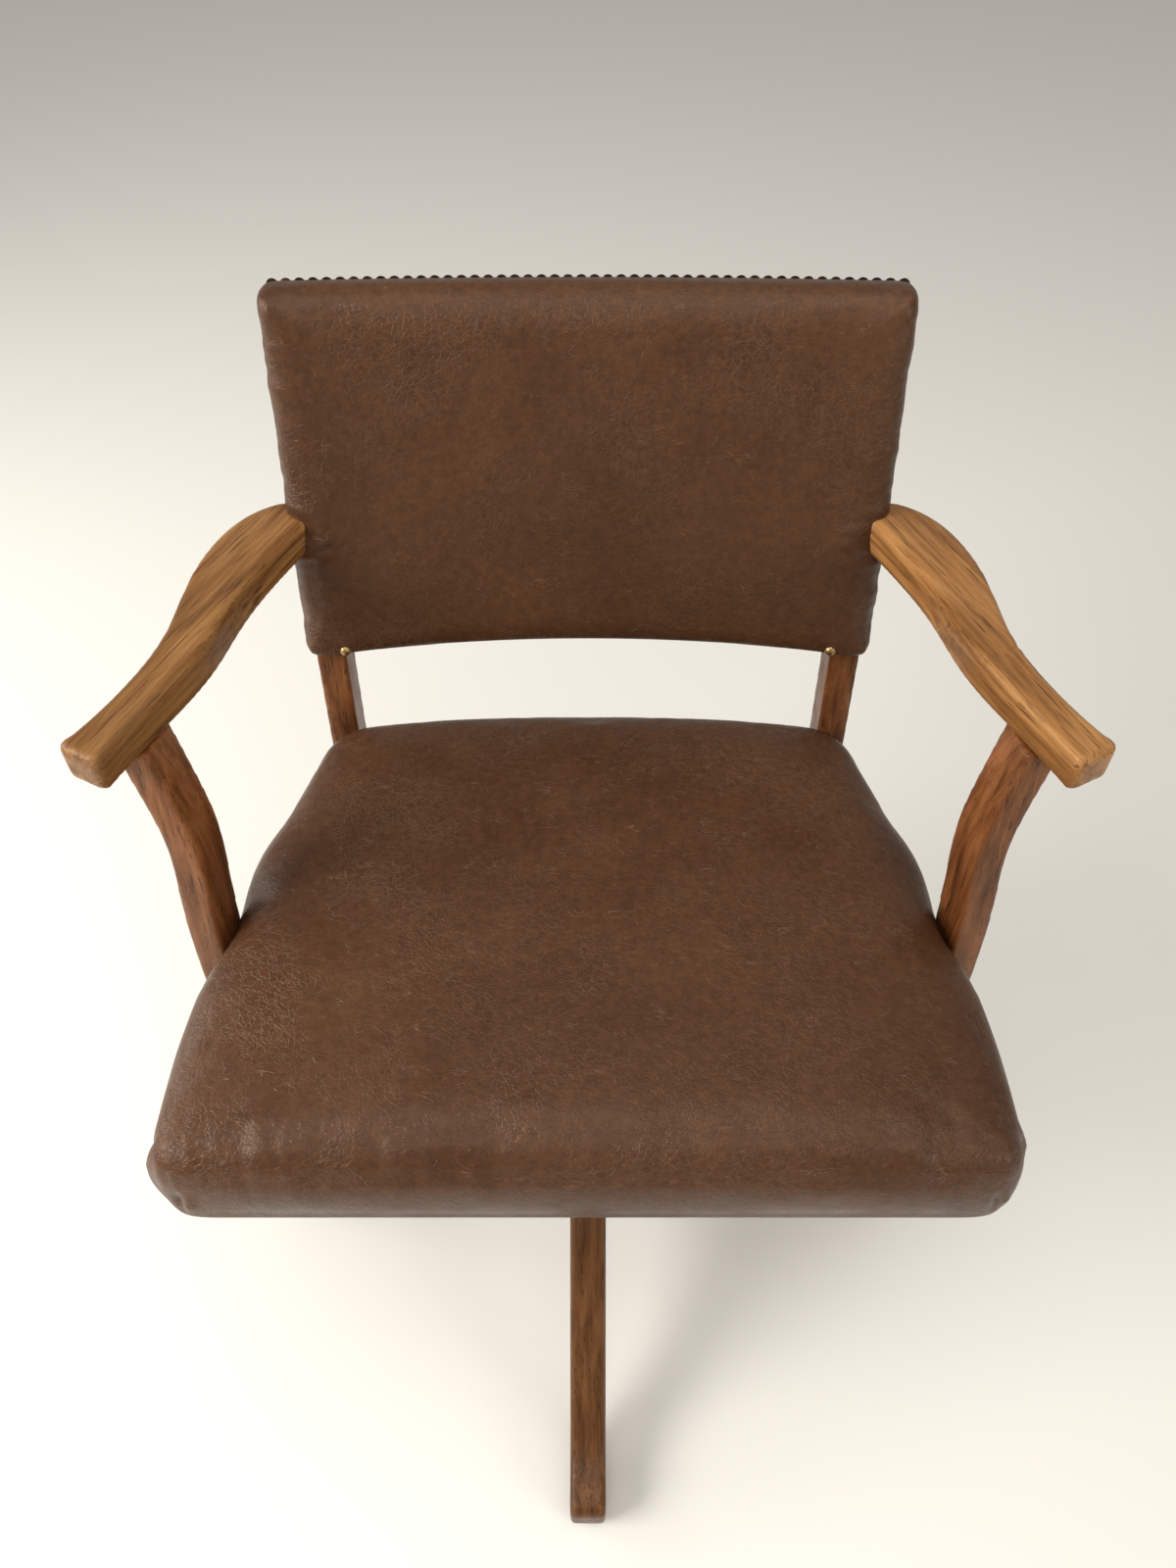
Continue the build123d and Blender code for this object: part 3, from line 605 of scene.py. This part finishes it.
def panel_outline(margin, corner, count):
    """Outline of the back seen from the front, drawn in by a margin."""
    half, low, high = BACK_HALF - margin, BACK_LOW + margin, BACK_HIGH - margin
    across = np.linspace(-half, half, 60)
    bottom = np.column_stack([across, low + ARCH * np.clip(1 - (across / POST_IN) ** 2, 0, 1)])
    right = spline([(half, low), (half, high)])
    top = spline([(half, high), (-half, high)])
    left = spline([(-half, high), (-half, low)])
    return joined([bottom, right, top, left], corner, count)


def make_back():
    """Stuffed leather front of the back with soft rolled edges."""
    outline = panel_outline(-0.001, 0.006, 300)

    def crown(x, z):
        middle = (BACK_LOW + BACK_HIGH) / 2
        fullness = (1 - (x / 0.22) ** 2) * (1 - ((z - middle) / 0.14) ** 2)
        return -BACK_FRONT + 0.004 * fullness

    high = np.clip((outline[:, 1] - BACK_LOW) / 0.03, 0, 1)
    crest = np.clip((outline[:, 1] - BACK_HIGH + 0.012) / 0.010, 0, 1)
    reach = 0.005 + 0.007 * high + 0.004 * crest
    rings = loaf_rings(outline, crown, -BACK_REAR - 0.0005, reach, 2.0, reach, 0.001, 0.010)
    back = remeshed(lofted("back_leather", rings), 0.0042)
    inflated(back, lambda p: p[:, 2] < -BACK_REAR + 0.012, 0.0018, 1.0)
    smoothed(back, 2)
    subdivided(back)
    places = coordinates(back)
    rim = hump(np.abs(places[:, 0]) - BACK_HALF, 0.014)
    ripple = np.array([noise.noise(Vector((p[0] * 6, p[1] * 55, 3.0))) for p in places])
    tight = np.array([noise.noise(Vector((p[0] * 14, p[1] * 130, 6.0))) for p in places])
    places[:, 0] += np.sign(places[:, 0]) * rim * (0.0007 * ripple + 0.0005 * tight)
    places[:, 2] += rim * (0.0017 * ripple + 0.0006 * tight)
    entry = np.hypot((np.abs(places[:, 0]) - ARM_ENTRY_X) * 0.8, places[:, 1] - ARM_ENTRY_Z)
    pucker = hump(entry - 0.021, 0.006)
    places[:, 2] += pucker * (0.0016 + 0.0022 * tight) * (places[:, 2] > -0.03)
    put_coordinates(back, to_back(places))
    shade_smooth(back.data)
    back.data.materials.append(leather("back_hide", 0.92, 0.8))
    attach(back, "seat")
    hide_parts("back_cover", "back_padding")


def make_rear_panel():
    """Leather panel nailed over the rear of the back."""
    outline = panel_outline(-0.0005, 0.006, 300)

    def crown(x, z):
        return 0.0 * x + 0.0016

    rings = loaf_rings(outline, crown, -0.0030, 0.0016, 2.0, 0.004, 0.0, 0.004)
    panel = remeshed(lofted("rear_leather", rings), 0.0030)
    smoothed(panel, 2)
    places = coordinates(panel)
    outer = places[:, 2] > 0.0006
    wave = np.array([noise.noise(Vector((p[0] * 9, p[1] * 9, 8.0))) for p in places])
    near_edge = np.minimum(BACK_HALF - np.abs(places[:, 0]),
                           np.minimum(places[:, 1] - BACK_LOW, BACK_HIGH - places[:, 1]))
    puff = np.clip((near_edge - 0.006) / 0.03, 0, 1)
    places[outer, 2] += (0.0016 * puff * (1 + 0.5 * wave))[outer]
    places[:, 2] = -BACK_REAR - places[:, 2] + 0.0008
    put_coordinates(panel, to_back(places))
    panel.data.flip_normals()
    shade_smooth(panel.data)
    panel.data.materials.append(leather("rear_hide", 0.9, 0.7))
    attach(panel, "seat")
    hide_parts("outer_back")


# ---------------------------------------------------------------- wood


def checked(arm):
    """Old glued joint line across the top of the right arm, sunk a little into the wood."""
    places = coordinates(arm)
    start, end = np.array((0.250, 0.061)), np.array((0.286, 0.081))
    run = (end - start) / np.linalg.norm(end - start)
    offset = places[:, :2] - start
    along = offset @ run
    across = offset @ np.array((-run[1], run[0]))
    inside = (along > -0.004) & (along < np.linalg.norm(end - start) + 0.004)
    high = np.clip((places[:, 2] - 0.652) / 0.006, 0, 1)
    places[:, 2] -= 0.0009 * hump(across, 0.0016) * inside * high
    put_coordinates(arm, places)


def make_wood():
    """Arms, supports, posts, hub and legs with softened arrises and their own grain."""
    arm_angle = radians(68)
    for side, name in ((1, "right"), (-1, "left")):
        arm = softened("arm_" + name, "arm_board_" + name, "seat", 0.0022, 7)
        arm.data.materials.append(oak("oak_arm_" + name, [("Z", side * arm_angle)], 0.93, 1.0, 0.37 * side))
        if side > 0:
            checked(arm)
        support = softened("support_" + name, "arm_upright_" + name, "seat", 0.0022, 6)
        support.data.materials.append(oak("oak_support_" + name, [("Y", pi / 2)], 0.64, 1.3, 0.9 * side))
        post = softened("post_" + name, "back_post_" + name, "seat", 0.0022, 4)
        post.data.materials.append(oak("oak_post_" + name, [("Y", pi / 2)], 0.50, 1.3, 1.7 * side))
    hub = softened("hub", "base_block", "base", 0.0024, 4)
    hub.data.materials.append(oak("oak_hub", [("Y", pi / 2)], 0.5, 1.2, 2.3))
    for name, angle in (("right", 0.0), ("rear", -pi / 2), ("left", pi), ("front", pi / 2)):
        leg = softened("leg_" + name, "sabre_leg_" + name, "base", 0.0026, 7)
        grain = [("Z", angle), ("Y", radians(-38))]
        leg.data.materials.append(oak("oak_leg_" + name, grain, 0.42, 1.2, angle))


# ------------------------------------------------------------- ironwork


def part_of_spring(node, name, parting, upper):
    """The coils of a CAD spring above or below a height, closed where they are cut."""
    obj = link(NODES[node].data.copy(), name)
    obj.data.materials.clear()
    shape = bmesh.new()
    shape.from_mesh(obj.data)
    bmesh.ops.remove_doubles(shape, verts=shape.verts[:], dist=1e-6)
    everything = shape.verts[:] + shape.edges[:] + shape.faces[:]
    bmesh.ops.bisect_plane(shape, geom=everything, plane_co=(0, 0, parting), plane_no=(0, 0, 1),
                           clear_outer=not upper, clear_inner=upper)
    rim = [edge for edge in shape.edges
           if edge.is_boundary and all(abs(vert.co.z - parting) < 1e-5 for vert in edge.verts)]
    bmesh.ops.holes_fill(shape, edges=rim)
    shape.to_mesh(obj.data)
    shape.free()
    shade_smooth(obj.data)
    return obj


def make_springs():
    """The two tilt springs: the lower coils give way to the bridge, the upper ones to the tipping seat."""
    steel = metal("spring_wire", (0.16, 0.16, 0.17), 0.38)
    low, high = SPRING_LO.z, SPRING_HI.z
    parting = low + 0.35 * (high - low)
    for name in ("left", "right"):
        node = "tilt_spring_" + name
        lower = part_of_spring(node, "lower_coils_" + name, parting, False)
        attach(lower, "spring_bridge")
        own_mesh(lower)
        upper = part_of_spring(node, "upper_coils_" + name, parting, True)
        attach(upper, "swivel_iron")
        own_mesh(upper)
        for piece in (lower, upper):
            piece.data.materials.append(steel)
            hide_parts(node)


def paint_ironwork():
    """Finishes of the CAD nodes that keep their shape."""
    iron = metal("black_iron", (0.020, 0.020, 0.021), 0.42, (0.07, 0.065, 0.06), 0.35)
    steel = metal("bright_steel", (0.42, 0.42, 0.43), 0.34)
    bronze = metal("bearing_bronze", (0.42, 0.27, 0.12), 0.40)
    nails = metal("nail_bronze", (0.085, 0.055, 0.035), 0.36, (0.26, 0.18, 0.11), 1.0, 0.5)
    brass = metal("corner_brass", (0.42, 0.28, 0.12), 0.34)
    paint_nodes(iron, "top_plate", "bottom_plate", "swivel_iron", "tilt_cradle", "spring_bridge",
                "handwheel", "tension_knob")
    paint_nodes(steel, "glides", "guide_sleeve", "spindle_key", "spindle", "tilt_axle", "axle_washers",
                "axle_pins", "tension_screw", "castle_nut", "top_washer", "cradle_screws", "support_bolts",
                "post_bolts", "arm_screws", "plate_screws")
    paint_nodes(bronze, "base_washer", "collar_washer", "swivel_bush")
    paint_nodes(nails, "rear_studs")
    paint_nodes(brass, "corner_studs")
    paint_nodes(rubber("stop_rubber"), "stop_buffer")
    paint_nodes(woven("webbing", (0.40, 0.31, 0.19), 0.0016), "seat_webbing", "back_hessian")
    paint_nodes(woven("dust_cloth", (0.022, 0.022, 0.024), 0.0010), "dust_cover")
    paint_nodes(plain_wood("beech"), "seat_rail_front", "seat_rail_rear", "seat_rail_left",
                "seat_rail_right", "seat_bearers", "corner_blocks", "back_rail_top", "back_rail_bottom")
    paint_nodes(oak("oak_dowels", [("Y", pi / 2)], 0.6), "leg_dowels", "arm_dowels")


# --------------------------------------------------------------- studio


def make_studio():
    """Pale floor, soft lights and the camera."""
    bpy.ops.mesh.primitive_plane_add(size=30)
    floor = bpy.context.object
    floor.name = "floor"
    paint = Paint("pale_floor")
    floor.data.materials.append(paint.finish((0.80, 0.77, 0.71), 0.7))
    world = bpy.data.worlds.new("studio")
    bpy.context.scene.world = world
    world.use_nodes = True
    world.node_tree.nodes["Background"].inputs[0].default_value = (1.0, 0.985, 0.955, 1)
    world.node_tree.nodes["Background"].inputs[1].default_value = 0.42
    soft_light("window", (-2.3, -0.9, 2.0), 1.5, 84, (1.0, 0.985, 0.96))
    soft_light("second_window", (2.4, -1.9, 1.7), 1.2, 22, (1.0, 0.98, 0.95))
    soft_light("side_window", (-2.1, 0.5, 1.0), 1.0, 14, (1.0, 0.985, 0.96))
    soft_light("ceiling", (0.3, -0.7, 3.0), 2.4, 34, (1.0, 0.99, 0.97))
    camera = bpy.data.cameras.new("camera")
    camera.lens = 27.0
    camera.sensor_width = 36.0
    holder = bpy.data.objects.new("camera", camera)
    bpy.context.scene.collection.objects.link(holder)
    holder.location = (0.0, -0.50, 1.16)
    holder.rotation_euler = (radians(90 - 47.7), 0, 0)
    bpy.context.scene.camera = holder
    bpy.context.scene.view_settings.view_transform = "Standard"


def soft_light(name, place, size, power, colour):
    """Square area light aimed at the chair."""
    light = bpy.data.lights.new(name, "AREA")
    light.size = size
    light.energy = power
    light.color = colour
    holder = bpy.data.objects.new(name, light)
    bpy.context.scene.collection.objects.link(holder)
    holder.location = place
    aim = Vector((0, 0, 0.45)) - Vector(place)
    holder.rotation_euler = aim.to_track_quat("-Z", "Y").to_euler()


make_seat()
make_back()
make_rear_panel()
make_wood()
make_springs()
paint_ironwork()
make_studio()
